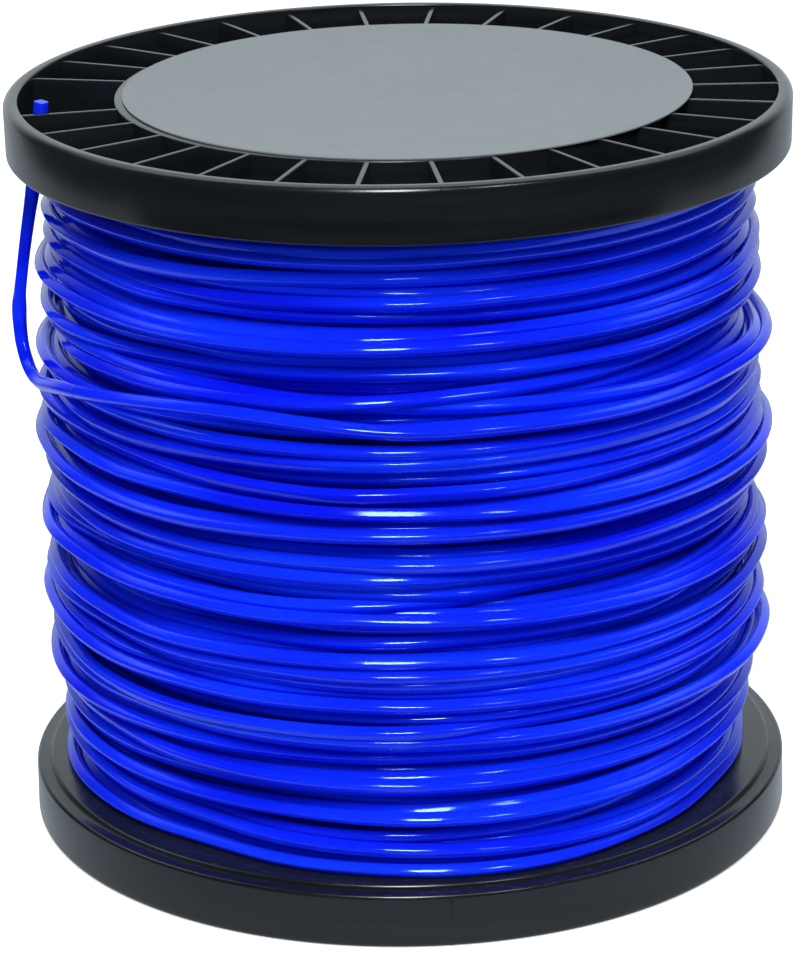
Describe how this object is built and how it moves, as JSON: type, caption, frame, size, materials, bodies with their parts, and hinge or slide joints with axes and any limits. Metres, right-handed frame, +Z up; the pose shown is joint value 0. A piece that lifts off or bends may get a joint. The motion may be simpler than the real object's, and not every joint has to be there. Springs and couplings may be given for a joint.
{
  "type": "trimmer line spool",
  "caption": "Plastic spool with ribbed flanges, wound full of square trimmer line; the line's free end is tied off through a hole in the top flange and a round label covers the hub.",
  "frame": {"origin": "middle of the bottom flange's rim, in the plane it stands on", "axes": "+Z up along the winding axis; -Y towards the front, with the line's free end at -X"},
  "size_m": [0.2, 0.2, 0.1949],
  "materials": {
    "spool_plastic": "moulded satin black",
    "line_nylon": "glossy extruded royal blue",
    "label_film": "plain satin film"
  },
  "bodies": {
    "root": {"top_flange": "spool_plastic", "bottom_flange": "spool_plastic", "barrel": "spool_plastic", "arbor_tube": "spool_plastic", "wound_line": "line_nylon", "line_end": "line_nylon", "label": "label_film"}
  },
  "joints": []
}
